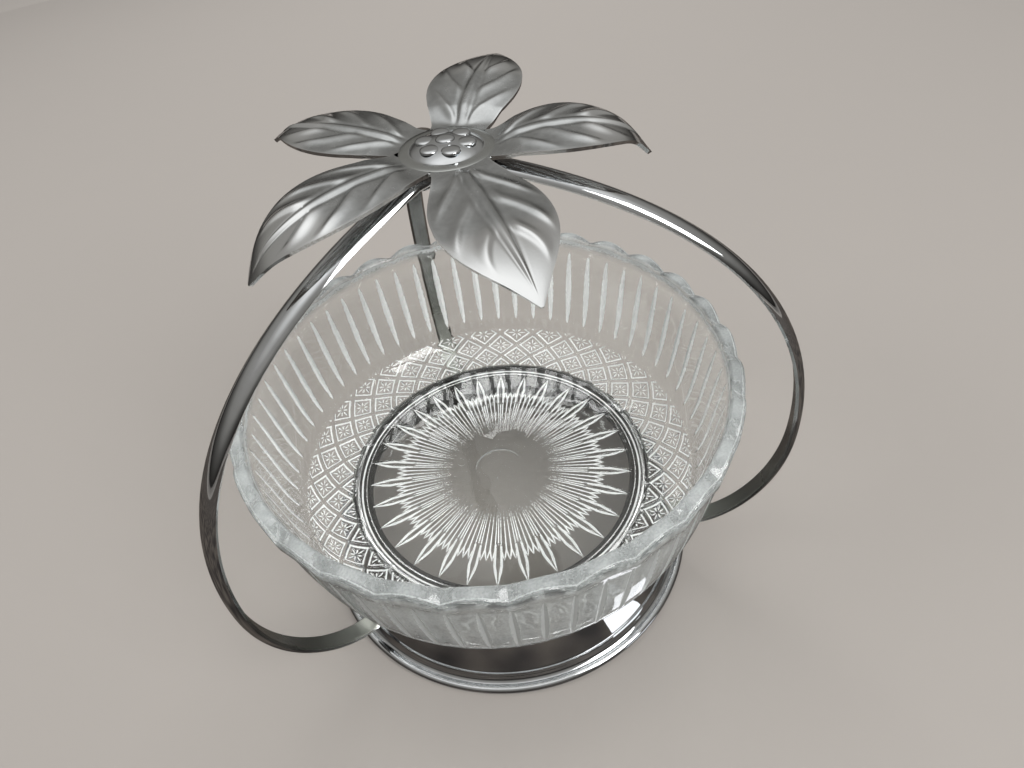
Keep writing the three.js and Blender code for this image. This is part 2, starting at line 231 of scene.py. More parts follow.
def eased(points, count):
    """A smooth line through the points, cut into equal steps."""
    p = np.array(points)
    ends = np.vstack([2 * p[0] - p[1], p, 2 * p[-1] - p[-2]])
    share = np.linspace(0, 1, 24, endpoint=False)[:, None]
    line = []
    for a, b, c, d in zip(ends, ends[1:], ends[2:], ends[3:]):
        line.append(0.5 * (2 * b + (c - a) * share + (2 * a - 5 * b + 4 * c - d) * share ** 2
                           + (3 * b - a - 3 * c + d) * share ** 3))
    return [tuple(point) for point in even_steps(np.vstack(line + [p[-1:]]), count)]


def turned(name, outline, steps, centre=(axis_x, axis_y)):
    """Spins an outline of (radius, height) points about an upright axis."""
    nothing_selected()
    (radius, height), rest = outline[0], outline[1:]
    bpy.ops.mesh.primitive_plane_add(size=MM, location=(centre[0] + radius, centre[1], height))
    obj = applied(bpy.context.object)
    obj.name = name
    edit_whole()
    bpy.ops.mesh.merge(type="CENTER")
    for across, up in rest:
        move = (across - radius, 0, up - height)
        bpy.ops.mesh.extrude_region_move(TRANSFORM_OT_translate={"value": move})
        radius, height = across, up
    bpy.ops.object.mode_set(mode="OBJECT")
    along = obj.data.attributes.new("row", "FLOAT", "POINT")
    along.data.foreach_set("value", np.arange(len(outline), dtype=np.float32))
    edit_whole()
    bpy.ops.mesh.spin(steps=steps, angle=FULL_TURN, center=(*centre, 0), axis=(0, 0, 1))
    weld()
    return obj


def points_of(obj):
    flat = np.empty(len(obj.data.vertices) * 3, dtype=np.float32)
    obj.data.vertices.foreach_get("co", flat)
    return flat.reshape(-1, 3).astype(float)


def set_points(obj, points):
    obj.data.vertices.foreach_set("co", points.astype(np.float32).ravel())
    obj.data.update()


def number_of(obj, name):
    values = np.empty(len(obj.data.vertices), dtype=np.float32)
    obj.data.attributes[name].data.foreach_get("value", values)
    return values.astype(float)


def set_number(obj, name, values):
    made = obj.data.attributes.get(name) or obj.data.attributes.new(name, "FLOAT", "POINT")
    made.data.foreach_set("value", np.asarray(values, dtype=np.float32))


def rise(value, low, high):
    """0 below low, 1 above high and smooth between."""
    share = np.clip((value - low) / (high - low), 0, 1)
    return share * share * (3 - 2 * share)


def new_material(name):
    material = bpy.data.materials.new(name)
    material.use_nodes = True
    return material, material.node_tree, material.node_tree.nodes["Principled BSDF"]


# Materials

def pressed_glass():
    """Pressed soda-lime glass. Finished by fire-polishing and clear where it is plain. The mould's cuts
    are milky, with slightly ragged edges, and the scooped rim is a little frosted. The white rim top and
    edge lines, the arc on the plunger mark and the white wall seen at a low angle are painted highlight
    and painted reflection."""
    material, tree, shader = new_material("pressed_glass")
    place = add(tree, "TexCoord", out="Object")
    frost, painted_highlight, cut_and_highlight, reflection_mask = [add(tree, "Attribute", out="Fac", attribute_name=name)
                                for name in ["frost", "painted_highlight", "cut_and_highlight", "reflection_mask"]]
    grit = add(tree, "TexNoise", {
        "Vector": place, "Scale": 1 / (0.5 * MM), "Detail": 2.0, "Roughness": 0.6})
    ripple = add(tree, "TexNoise", {"Vector": place, "Scale": 1 / (9 * MM), "Detail": 1.0})

    # The place on the bowl, as a number of scallops round it and a distance from its axis
    flat = add(tree, "Mapping", {
        "Vector": place, "Location": (-axis_x, -axis_y, 0), "Scale": (1, 1, 0)})
    parts = add(tree, "SeparateXYZ", {0: flat}).node.outputs
    angle = add(tree, "Math", {0: parts["Y"], 1: parts["X"]}, operation="ARCTAN2")
    pitches = scallops / FULL_TURN
    across = add(tree, "Math", {0: angle, 1: pitches, 2: scallops - bowl_turn * pitches},
                 operation="MULTIPLY_ADD")
    radius = add(tree, "VectorMath", {0: flat}, out="Value", operation="LENGTH")
    pressed = add(tree, "Math", {0: diamonds(tree, across), 1: star(tree, across, radius)},
                  operation="MAXIMUM")
    cut_and_highlight = add(tree, "Math", {0: cut_and_highlight, 1: pressed}, operation="MAXIMUM")

    # The edge of a cut is where its number passes a half, moved to and fro by the grit.
    moved = add(tree, "Math", {0: grit, 1: 0.9, 2: cut_and_highlight}, operation="MULTIPLY_ADD")
    crisp = add(tree, "MapRange", {0: moved, 1: 0.85, 2: 1.0, 3: 0.0, 4: 0.94})
    cloud = add(tree, "MapRange", {0: grit, 1: 0.3, 2: 0.7, 3: 0.8, 4: 1.2})
    # Painted reflection: the wall and the rim's top are whitened where they are seen at a low angle,
    # with soft ribs round the wall.
    facing = add(tree, "LayerWeight", {"Blend": 0.5}, out="Facing")
    low_angle = add(tree, "MapRange", {0: facing, 1: 0.32, 2: 0.68, 3: 0.0, 4: 0.85})
    grazing_reflection = add(tree, "Math", {0: low_angle, 1: reflection_mask}, operation="MULTIPLY")
    # The milky whitening from here on is painted light: painted highlight on the rim and the plunger
    # mark, and painted reflection on the wall. The haze and the grey tint made from it are painted light
    # too.
    milky = add(tree, "Math", {0: painted_highlight, 1: grazing_reflection}, operation="MAXIMUM")
    haze = add(tree, "Math", {0: milky, 1: cloud}, operation="MULTIPLY")
    white = add(tree, "Math", {0: crisp, 1: haze}, operation="MAXIMUM", use_clamp=True)
    tint = add(tree, "ValToRGB", {0: haze}, stops=[(0.0, "#f6f7f6"), (0.3, "#c4c8c7")])
    clear = add(tree, "Math", {0: 1.0, 1: white}, operation="SUBTRACT")
    matt = add(tree, "Math", {0: frost, 1: crisp}, operation="MAXIMUM")
    rough = add(tree, "Math", {0: matt, 1: 0.3}, operation="MULTIPLY")
    grit_height = add(tree, "Math", {0: matt, 1: grit}, operation="MULTIPLY")
    fine = add(tree, "Bump", {"Height": grit_height, "Strength": 0.6, "Distance": 0.1 * MM})
    waves = add(tree, "Bump", {
        "Height": ripple, "Strength": 0.25, "Distance": 0.5 * MM, "Normal": fine})
    feed(shader, {"IOR": 1.52, "Base Color": tint, "Transmission Weight": clear, "Roughness": rough,
                  "Normal": waves})

    # Lamps reach what stands behind the glass.
    shadow = add(tree, "LightPath", out="Is Shadow Ray")
    see_through = add(tree, "BsdfTransparent", {"Color": linear("#f0f1f0")})
    passing = add(tree, "MapRange", {0: white, 1: 0.0, 2: 1.0, 3: 0.9, 4: 0.3})
    lit = add(tree, "Math", {0: shadow, 1: passing}, operation="MULTIPLY")
    mixed = add(tree, "MixShader", {0: lit, 1: shader.outputs[0], 2: see_through})
    feed(tree.nodes["Material Output"], {"Surface": mixed})
    return material


def diamonds(tree, across):
    """The milky lines of the diamond band: an outline inside the channels, and a star of eight petals.
    Widths and distances are shares of the pitch."""
    outline_width = 0.065
    petal_middle = 0.17
    petal_half_width = 0.055
    up = add(tree, "Attribute", out="Fac", attribute_name="band_up")
    inside = add(tree, "Attribute", out="Fac", attribute_name="band")
    sides = []
    for operation in ["ADD", "SUBTRACT"]:
        both = add(tree, "Math", {0: across, 1: up}, operation=operation)
        share = add(tree, "Math", {0: both, 1: 1.0}, operation="FLOORED_MODULO")
        sides.append(add(tree, "Math", {0: share, 1: 0.5}, operation="SUBTRACT"))
    off = [add(tree, "Math", {0: side}, operation="ABSOLUTE") for side in sides]
    farther = add(tree, "Math", {0: off[0], 1: off[1]}, operation="MAXIMUM")
    nearer = add(tree, "Math", {0: off[0], 1: off[1]}, operation="MINIMUM")
    brink = add(tree, "Math", {0: farther, 1: diamond_share}, operation="SUBTRACT")
    brink = add(tree, "Math", {0: brink}, operation="ABSOLUTE")
    outline = add(tree, "MapRange", {0: brink, 1: 0.0, 2: outline_width, 3: 1.0, 4: 0.0})
    # A petal is widest half way out. The slanted ones lie where the two sides are equal.
    slant = add(tree, "Math", {0: farther, 1: nearer}, operation="SUBTRACT")
    beside = add(tree, "Math", {0: slant, 1: nearer}, operation="MINIMUM")
    bow = add(tree, "Math", {0: farther, 1: petal_middle}, operation="SUBTRACT")
    bow = add(tree, "Math", {0: bow, 1: bow}, operation="MULTIPLY")
    width = add(tree, "MapRange", {0: bow, 1: 0.0, 2: 0.018, 3: petal_half_width, 4: 0.0})
    thin = add(tree, "Math", {0: width, 1: beside}, operation="SUBTRACT")
    petal = add(tree, "MapRange", {0: thin, 1: -0.02, 2: 0.04, 3: 0.0, 4: 0.7})
    lines = add(tree, "Math", {0: outline, 1: petal}, operation="MAXIMUM")
    return add(tree, "Math", {0: lines, 1: inside}, operation="MULTIPLY")


def star(tree, across, radius):
    """The milky lines of the star under the bowl. Each long ray is an outline. Between two of them a
    zigzag makes three short points, and a line runs inwards from each of its valleys and thins out.
    Widths are shares of the pitch."""
    edge_line = 0.055  # half the width of the line along a long ray
    zigzag_line = 0.036
    soft = 0.012  # how softly a line ends at its sides
    inside = add(tree, "Attribute", out="Fac", attribute_name="star")
    off = add(tree, "Math", {0: across, 1: 0.5}, operation="PINGPONG")
    side = add(tree, "MapRange", {0: radius, 1: star_taper, 2: star_long_tip, 3: long_ray_side, 4: 0.0})
    from_side = add(tree, "Math", {0: off, 1: side}, operation="SUBTRACT")
    from_side = add(tree, "Math", {0: from_side}, operation="ABSOLUTE")
    half = add(tree, "MapRange", {0: radius, 1: 35 * MM, 2: star_long_tip, 3: edge_line, 4: 0.0})
    within = add(tree, "Math", {0: half, 1: from_side}, operation="SUBTRACT")
    long_ray = add(tree, "MapRange", {0: within, 1: -soft, 2: soft, 3: 0.0, 4: 1.0})
    begun = add(tree, "MapRange", {0: radius, 1: 25 * MM, 2: star_apart, 3: 0.0, 4: 1.0})
    long_ray = add(tree, "Math", {0: long_ray, 1: begun}, operation="MULTIPLY")
    shifted = add(tree, "Math", {0: off, 1: 0.5 - short_pitch}, operation="SUBTRACT")
    from_point = add(tree, "Math", {0: shifted, 1: short_pitch / 2}, operation="PINGPONG")
    spread = add(tree, "MapRange", {
        0: radius, 1: star_apart, 2: star_short_tip, 3: short_pitch / 2, 4: 0.0})
    from_line = add(tree, "Math", {0: from_point, 1: spread}, operation="SUBTRACT")
    from_line = add(tree, "Math", {0: from_line}, operation="ABSOLUTE")
    thin = add(tree, "MapRange", {
        0: radius, 1: 30 * MM, 2: star_short_tip, 3: zigzag_line, 4: 0.0})
    within = add(tree, "Math", {0: thin, 1: from_line}, operation="SUBTRACT")
    short_ray = add(tree, "MapRange", {0: within, 1: -soft, 2: soft, 3: 0.0, 4: 1.0})
    ended = add(tree, "Math", {0: radius, 1: star_short_tip + 0.3 * MM}, operation="LESS_THAN")
    short_ray = add(tree, "Math", {0: short_ray, 1: ended}, operation="MULTIPLY")
    covered = add(tree, "MapRange", {0: off, 1: 0.15, 2: 0.17, 3: 1.0, 4: 0.0})
    covered = add(tree, "Math", {0: covered, 1: begun}, operation="MULTIPLY")
    short_ray = add(tree, "Math", {0: short_ray, 1: covered}, operation="SUBTRACT")
    middle = add(tree, "MapRange", {0: off, 1: 0.025, 2: 0.045, 3: 1.0, 4: 0.0})
    middle = add(tree, "Math", {0: middle, 1: begun}, operation="SUBTRACT")
    rays = add(tree, "Math", {0: long_ray, 1: short_ray}, operation="MAXIMUM")
    rays = add(tree, "Math", {0: rays, 1: middle}, operation="MAXIMUM")
    fade = add(tree, "MapRange", {0: radius, 1: star_inner, 2: 27 * MM, 3: 0.3, 4: 0.95})
    rays = add(tree, "Math", {0: rays, 1: fade}, operation="MULTIPLY")
    return add(tree, "Math", {0: rays, 1: inside}, operation="MULTIPLY")


def chromium_plate():
    """Chromium plate over steel given a high polish. A cool mirror with hairline rubs and a faint haze
    from wiping. A number on the mesh is a half where the plate is dull, and one where the metal is drawn
    near-black as painted shade."""
    material, tree, shader = new_material("chromium_plate")
    place = add(tree, "TexCoord", out="Object")
    haze = add(tree, "TexNoise", {
        "Vector": place, "Scale": 1 / (14 * MM), "Detail": 4.0, "Roughness": 0.65})
    stretched = add(tree, "Mapping", {"Vector": place, "Scale": (1, 1, 14)})
    rubs = add(tree, "TexNoise", {
        "Vector": stretched, "Scale": 1 / (2.2 * MM), "Detail": 3.0, "Roughness": 0.7})
    dulled_and_shaded = add(tree, "Attribute", out="Fac", attribute_name="dulled_and_shaded")
    metal = add(tree, "MapRange", {0: dulled_and_shaded, 1: 0.5, 2: 0.8, 3: 1.0, 4: 0.0})
    plate = add(tree, "ValToRGB", {0: haze}, stops=[(0.3, "#bdbfc0"), (0.7, "#d2d4d6")])
    # From a half to one the colour runs to near-black: painted shade in the pedestal's seat and hollow,
    # where little light reaches.
    worn_and_shade_colour = add(tree, "ValToRGB", {0: dulled_and_shaded}, stops=[(0.5, "#a6a8a1"), (1.0, "#242321")])
    cover = add(tree, "MapRange", {0: dulled_and_shaded, 1: 0.0, 2: 0.5, 3: 0.0, 4: 1.0})
    colour = add(tree, "Mix", {0: cover, 6: plate, 7: worn_and_shade_colour}, out=2, data_type="RGBA")
    smooth = add(tree, "MapRange", {0: haze, 1: 0.35, 2: 0.7, 3: 0.03, 4: 0.07})
    rough = add(tree, "Math", {0: dulled_and_shaded, 1: 0.5, 2: smooth}, operation="MULTIPLY_ADD")
    bump = add(tree, "Bump", {"Height": rubs, "Strength": 0.02, "Distance": 0.02 * MM})
    # The gloss of the near-black painted shade.
    shaded_inside_gloss = 0.1
    feed(shader, {"Metallic": metal, "Specular IOR Level": shaded_inside_gloss, "Base Color": colour,
                  "Roughness": rough, "Normal": bump})
    return material


def satin_plate():
    """Stamped sheet with a satin plate. Grey and soft with a faint cloudiness, and rubbed smoother by
    handling on the outer part of a leaf and along its edge. There and on the vein crests a lighter
    colour is painted highlight."""
    material, tree, shader = new_material("satin_plate")
    place = add(tree, "TexCoord", out="Object")
    polish_and_highlight = add(tree, "Attribute", out="Fac", attribute_name="polish_and_highlight")
    cloud = add(tree, "TexNoise", {
        "Vector": place, "Scale": 1 / (4 * MM), "Detail": 5.0, "Roughness": 0.65})
    grain = add(tree, "TexNoise", {"Vector": place, "Scale": 1 / (0.4 * MM), "Detail": 2.0})
    satin = add(tree, "ValToRGB", {0: cloud}, stops=[(0.3, "#aaacac"), (0.7, "#c0c2c2")])
    # Painted highlight: the lighter colour on a leaf's outer part, along its edge and on its vein
    # crests.
    colour = add(tree, "Mix", {0: polish_and_highlight, 6: satin, 7: linear("#dcdddd")}, out=2,
                 data_type="RGBA")
    matt = add(tree, "MapRange", {0: cloud, 1: 0.3, 2: 0.7, 3: 0.2, 4: 0.29})
    rough = add(tree, "Mix", {0: polish_and_highlight, 2: matt, 3: 0.11})
    bump = add(tree, "Bump", {"Height": grain, "Strength": 0.2, "Distance": 0.03 * MM})
    feed(shader, {"Metallic": 1.0, "Base Color": colour, "Roughness": rough, "Normal": bump})
    return material


def fastener_steel():
    """Bare bright steel, tumbled, so the grey is even and the shine broad."""
    material, tree, shader = new_material("tumbled_steel")
    place = add(tree, "TexCoord", out="Object")
    dents = add(tree, "TexNoise", {"Vector": place, "Scale": 1 / (0.8 * MM), "Detail": 3.0})
    colour = add(tree, "ValToRGB", {0: dents}, stops=[(0.3, "#7f8283"), (0.7, "#a3a5a6")])
    rough = add(tree, "MapRange", {0: dents, 1: 0.3, 2: 0.7, 3: 0.24, 4: 0.4})
    bump = add(tree, "Bump", {"Height": dents, "Strength": 0.2, "Distance": 0.03 * MM})
    feed(shader, {"Metallic": 1.0, "Base Color": colour, "Roughness": rough, "Normal": bump})
    return material


# Glass bowl. Its outline runs from the middle of the underside out, up, over the rim and back in.
# Every cut repeats round the bowl, so the mesh has a fixed number of steps to each scallop.

steps_per_scallop = 24
star_inner = 14 * MM  # where the star's rays fade in
star_apart = 28 * MM  # from here outwards the long and the short rays are apart
star_taper = 33 * MM  # from here outwards a long ray tapers
long_ray_side = 0.14  # from a long ray's middle to its side, of the pitch
short_pitch = 0.24  # between two short points, of the pitch of the long rays
star_short_tip = 31.6 * MM
star_long_tip = 39.2 * MM
star_depth = 0.3 * MM
diamond_pitch = 10.4 * MM
diamond_start = 1.0 * MM  # from the foot ring's edge
diamond_steps = 24
diamond_row_count = 38
diamond_shift = 9.5  # steps from the first row to a row where channels cross
channel_share = 0.1  # half width of a channel, of the pitch
diamond_depth = 0.5 * MM
diamond_share = 0.375  # where a diamond's outline runs, from its middle
underside = 0.5 * MM  # how high the star lies over the foot ring's edge
ring_line = 40.5 * MM  # the foot ring's inner edge
cut_low = 11.5 * MM
cut_high = 39.5 * MM
cut_half_width = 1.0 * MM
cut_depth = 0.55 * MM
plunger_mark = 7 * MM  # radius of the faint ring in the middle


def bowl_outline():
    """The plain outline, and the row at which each stretch of it starts."""
    inner = rim_radius - wall_thickness
    floor_top = ring_depth + floor_thickness
    rim_round = wall_thickness / 2

    def outside(across, up):
        return ring_radius + across * (rim_radius - ring_radius), up * bowl_height

    def inside(across, up):
        return across * inner, floor_top + up * (bowl_height - floor_top)

    wall = [outside(0.055, 0.041), outside(0.41, 0.063), outside(0.59, 0.108), outside(0.705, 0.203),
            outside(0.8, 0.36), outside(0.886, 0.6), outside(0.945, 0.83),
            (rim_radius, bowl_height - rim_round - 0.6 * MM)]
    line = np.array(eased(wall, 400))
    run = run_of(line)
    row_step = diamond_pitch / diamond_steps
    band_end = diamond_start + row_step * diamond_row_count
    band = np.linspace(diamond_start, band_end, diamond_row_count + 1)
    cut_start = np.interp(cut_low, line[:, 1], run)
    cut_end = np.interp(cut_high, line[:, 1], run)
    cuts = np.linspace(cut_start, cut_end, 17)
    plain = np.linspace(band_end, cut_start, 3)[1:-1]
    upper = np.linspace(cut_end, run[-1], 4)[1:-1]
    at = np.concatenate([[0.0], band, plain, cuts, upper])
    wall_points = list(zip(*(np.interp(at, run, column) for column in line.T)))

    radii = [0, 2.5 * MM, 3.8 * MM, 5.2 * MM, plunger_mark - 0.35 * MM, plunger_mark,
             plunger_mark + 0.35 * MM, 10 * MM]
    radii += list(np.linspace(star_inner, star_short_tip, 16))
    radii += list(np.linspace(star_short_tip, star_long_tip, 11)[1:])
    base = [(r, underside) for r in radii]
    ring = [(ring_line - 0.6 * MM, underside), (ring_line - 0.25 * MM, underside * 0.8),
            (ring_line, 0.08 * MM)]
    ring += [(ring_line + out * MM, 0) for out in (0.25, 0.8, 1.05, 1.35, 1.6)]
    ring += [(ring_radius, 0.08 * MM), (ring_radius + 0.25 * MM, 0.3 * MM),
             (ring_radius + 0.6 * MM, 0.7 * MM)]
    corner = rim_round * 0.62
    rim = arc(rim_radius - corner, bowl_height - corner, corner, 0, 90, 4)
    rim += arc(inner + corner, bowl_height - corner, corner, 90, 180, 4)
    hollow = eased([rim[-1], inside(0.972, 0.7), inside(0.944, 0.37), inside(0.894, 0.135),
                    inside(0.825, 0.026), inside(0.767, 0.0)], 16)[1:]
    floor = [(r, floor_top) for r in (36 * MM, 22 * MM, 8 * MM, 0)]
    outline = base + ring + wall_points + rim + hollow + floor
    starts = {"ring": len(base), "ring_inner": len(base) + 2, "ring_outer": len(base) + 5,
              "wall": len(base) + len(ring) + 1}
    starts["band_end"] = starts["wall"] + len(band) - 1
    starts["cut_start"] = starts["wall"] + len(band) + len(plain)
    starts["cut_end"] = starts["cut_start"] + len(cuts) - 1
    starts["rim"] = starts["wall"] + len(wall_points) - 1
    return outline, starts


def star_relief(radius, off):
    """Depth of the long rays, 0 to 1. Off is the distance from a ray's middle, of the pitch."""
    side = np.interp(radius, [star_taper, star_long_tip], [long_ray_side, 0.0])
    half = np.interp(radius, [star_inner, star_taper, star_long_tip], [0.05, 0.06, 0.03])
    return np.clip(1 - np.abs(off - side) / half, 0, 1) * (radius <= star_long_tip)


def bowl():
    outline, starts = bowl_outline()
    obj = turned("bowl_glass", [(r, bowl_bottom + z) for r, z in outline], scallops * steps_per_scallop)
    points = points_of(obj)
    row = number_of(obj, "row")
    x = points[:, 0] - axis_x
    y = points[:, 1] - axis_y
    radius = np.hypot(x, y)
    angle = np.arctan2(y, x)
    slope = directions(np.array(outline))
    at = np.rint(row).astype(int)
    out_r, out_z = slope[at, 1], -slope[at, 0]  # square to the outline, out of the glass
    step = FULL_TURN / (scallops * steps_per_scallop)
    index = np.rint(angle / step)

    # Needle cuts, two to a scallop: the steps beside each one close in to its width.
    per_cut = steps_per_scallop // 2
    beside = (index + per_cut // 2) % per_cut - per_cut // 2
    share = np.clip((at - starts["cut_start"]) / (starts["cut_end"] - starts["cut_start"]), 0, 1)
    lens = np.sin(np.pi * share) ** 0.7
    in_cut = (at >= starts["cut_start"]) & (at <= starts["cut_end"])
    near = np.where(in_cut, (0.12 + 0.88 * lens) * cut_half_width / np.maximum(radius, MM), step)
    half = per_cut / 2
    far = near + (np.abs(beside) - 1) * (half * step - near) / (half - 1)
    moved = np.where(np.abs(beside) < 1, 0, np.where(np.abs(beside) <= 1, near, far)) * np.sign(beside)
    angle = np.where(in_cut, (index - beside) * step + moved, index * step)
    depth = np.where(in_cut & (np.abs(beside) < 1), cut_depth * lens, 0)
    edge_fade = np.clip(1 - np.abs(beside) / 2, 0, 1)
    within = (at > starts["cut_start"]) & (at < starts["cut_end"])
    cut_and_highlight = np.where(within, edge_fade, 0)

    # Diamond band: channels that cross, and a small star in the middle of each diamond
    in_band = (at >= starts["wall"]) & (at <= starts["band_end"])
    across = index / steps_per_scallop
    up = (at - starts["wall"] - diamond_shift) / diamond_steps
    sides = np.abs([(across + up) % 1 - 0.5, (across - up) % 1 - 0.5])
    farther, nearer = sides.max(axis=0), sides.min(axis=0)
    channel = np.clip((channel_share * 1.5 - 0.5 + farther) / (channel_share * 0.7), 0, 1)
    petal = np.clip(1 - np.minimum(farther - nearer, nearer) / 0.07, 0, 1) * (farther < 0.3)
    end_fade = rise(starts["band_end"] - at, -0.5, 2.5)
    depth = np.where(in_band, np.maximum(channel, 0.5 * petal) * diamond_depth * end_fade, depth)

    # Star, the maker's tool marks on the underside, and a painted highlight on the back of the plunger
    # mark
    in_base = at < starts["ring"]
    off = np.abs((index / steps_per_scallop + 0.5) % 1 - 0.5)
    fade = rise(radius, star_inner, star_apart)
    depth = np.where(in_base, star_relief(radius, off) * star_depth * fade, depth)
    shear_mark = 1 - rise(np.hypot(np.abs(x) - 1.9 * MM, y + 3.8 * MM), 0, 2.2 * MM)
    cut_and_highlight = np.where(in_base, 0.4 * shear_mark, cut_and_highlight)
    # Painted highlight: only the back arc of the plunger-mark ring is whitened.
    plunger_mark_highlight = 0.5 * (np.abs(radius - plunger_mark) < 0.1 * MM) * rise(y, 0.1 * radius, 0.95 * radius)
    painted_highlight = np.where(in_base, plunger_mark_highlight, 0)
    cut_and_highlight = np.where(at == starts["ring_inner"], 0.5, cut_and_highlight)
    cut_and_highlight = np.where((at == starts["ring_outer"]) | (at == starts["ring_outer"] + 1), 0.9, cut_and_highlight)

    # Rim: one low arch to a scallop.
    height = points[:, 2] - bowl_bottom
    hump = np.abs(np.cos(scallops * angle / 2))
    arch = scallop_rise * (1 - hump)
    outer_share = 0.25 + 0.75 * rise(radius, rim_radius - wall_thickness, rim_radius - 0.6 * MM)
    lower = arch * outer_share * rise(height, bowl_height - 8 * MM, bowl_height - 2.2 * MM)
    outer_edge = starts["rim"] + 3
    inner_edge = starts["rim"] + 9
    # Painted highlight: thin white lines along the rim's outer and inner edges, and a whitened top
    # between them that stands for reflection and refraction in the thick rim.
    edge_row = (at == outer_edge) | (at == inner_edge)
    cut_and_highlight = np.where(edge_row, 0.72, np.where(at > starts["cut_end"], 0, cut_and_highlight))
    on_top = (at >= outer_edge) & (at <= inner_edge)
    painted_highlight = np.where(on_top, 0.3 + 0.3 * hump ** 4, painted_highlight)
    # Where the painted reflection whitens the wall and the rim's top at a low angle, with soft ribs
    # round the wall.
    on_wall = (at > starts["band_end"]) & (at < outer_edge)
    reflection_mask = on_wall * (0.85 + 0.15 * np.cos(2 * scallops * angle)) + 0.5 * on_top
    frost = 0.3 * on_top

    angle = angle + bowl_turn
    new_radius = radius - depth * out_r
    points[:, 0] = axis_x + new_radius * np.cos(angle)
    points[:, 1] = axis_y + new_radius * np.sin(angle)
    points[:, 2] -= depth * out_z + lower
    set_points(obj, points)
    band_up = np.where(at > starts["band_end"], up[at == starts["band_end"]][0], up)
    numbers = {"frost": frost, "painted_highlight": painted_highlight, "cut_and_highlight": cut_and_highlight, "reflection_mask": reflection_mask, "band_up": band_up,
               "band": in_band * end_fade, "star": in_base}
    for name, values in numbers.items():
        set_number(obj, name, values)
    placed(obj, "bowl", pressed_glass(), "glass_bowl", smooth_degrees=22)


# Pedestal

def pedestal(material):
    bead_centre = foot_radius - bead_radius
    ledge_radius = ring_radius - ledge_width
    wall_run = brim_radius - lip_radius
    wall_fall = wall_top - brim_height
    across = sheet * math.hypot(wall_run, wall_fall) / wall_fall
    ledge_under = seat_height - sheet
    crease = 0.45 * MM
    outline = [(bead_centre - 0.6 * MM, 0), (bead_centre + 0.6 * MM, 0)]
    outline += arc(bead_centre, bead_radius, bead_radius, -60, 100, 12)
    outline += eased([(bead_centre - 0.9 * MM, 2.2 * MM), (bead_centre - 1.5 * MM, 2.5 * MM),
                      (brim_radius + crease, brim_height - crease)], 5)
    outline += arc(brim_radius + crease, brim_height + crease * 0.6, crease, 200, 170, 2)
    outline += [(lip_radius + wall_run * share, wall_top - wall_fall * share)
                for share in np.linspace(0.93, 0.03, 12)]
    outline += arc(lip_radius - lip_round, wall_top, lip_round, 0, 180, 8)
    seat_row = len(outline) - 5  # from the lip's top inwards the metal is dull and drawn near-black: painted shade in the seat and the hollow
    outline += [(recess_radius, seat_height + 0.2 * MM), (recess_radius - 0.2 * MM, seat_height),
                (ledge_radius + 0.2 * MM, seat_height), (ledge_radius, seat_height - 0.2 * MM),
                (ledge_radius, ledge_under)]
    inner_top = lip_radius + wall_run * (wall_top - ledge_under) / wall_fall - across
    outline += [(inner_top, ledge_under), (brim_radius - across, brim_height),
                (bead_centre - bead_radius, bead_radius), (bead_centre - 0.6 * MM, 0)]
    obj = turned("pedestal_spun", outline, 192)
    # Painted shade: the seat and the inside of the foot get the near-black colour.
    set_number(obj, "dulled_and_shaded", number_of(obj, "row") >= seat_row)
    placed(obj, "stand", material, "pedestal", smooth_degrees=35)


# Arms: one half-round strip bent along a curve, and a copy of it for each arm

shoulder_pull = 46.7 * MM
shoulder_rise = 39.4 * MM
shoulder_drop = 10.6 * MM
widest_height = 52.1 * MM
hip_drop = 23.4 * MM
hip_pull = 10.9 * MM
hip_lift = 1.5 * MM
arm_bend = 2.4 * MM
arm_tab_length = 4.4 * MM
arm_knee_height = 9.2 * MM
arm_hub_overlap = 5.5 * MM


def wall_frame():
    """A place on the pedestal's wall, its outward direction and its upward one, in radius and height."""
    down = Vector((brim_radius - lip_radius, brim_height - wall_top)).normalized()
    out = Vector((-down.y, down.x))
    top = Vector((lip_radius, wall_top))
    return top, out, -down


def arm_line():
    """The arm's middle line in radius and height: straight and curved stretches as handles."""
    top, out, up = wall_frame()
    run = (arm_knee_height - top.y) / up.y
    knee = top + up * run + out * (touch_gap + arm_thickness / 2)
    pull = Vector((hip_pull, hip_lift))
    hip = knee + pull.normalized() * arm_bend
    tab_start = knee + up * arm_bend
    tab_end = tab_start + up * arm_tab_length
    start = Vector((hub_radius - arm_hub_overlap, arm_top))
    shoulder = Vector((hub_radius, arm_top))
    widest = Vector((arm_reach, widest_height))
    third = (shoulder - start) / 3
    return [
        (start, start, start + third),
        (shoulder - third, shoulder, shoulder + Vector((shoulder_pull, -shoulder_drop))),
        (widest + Vector((0, shoulder_rise)), widest, widest - Vector((0, hip_drop))),
        (hip + pull, hip, hip + (knee - hip) * 2 / 3),
        (tab_start + (knee - tab_start) * 2 / 3, tab_start, tab_start + (tab_end - tab_start) / 3),
        (tab_end - (tab_end - tab_start) / 3, tab_end, tab_end),
    ]


def curve_through(name, handles, closed=False):
    """A Bezier curve object from (handle, place, handle) triples of 3-D points."""
    nothing_selected()
    bpy.ops.curve.primitive_bezier_curve_add(location=(0, 0, 0))
    obj = bpy.context.object
    obj.name = name
    spline = obj.data.splines[0]
    spline.bezier_points.add(len(handles) - 2)
    for point, (left, place, right) in zip(spline.bezier_points, handles):
        point.handle_left_type = "FREE"
        point.handle_right_type = "FREE"
        point.handle_left = left
        point.co = place
        point.handle_right = right
    spline.use_cyclic_u = closed
    return obj


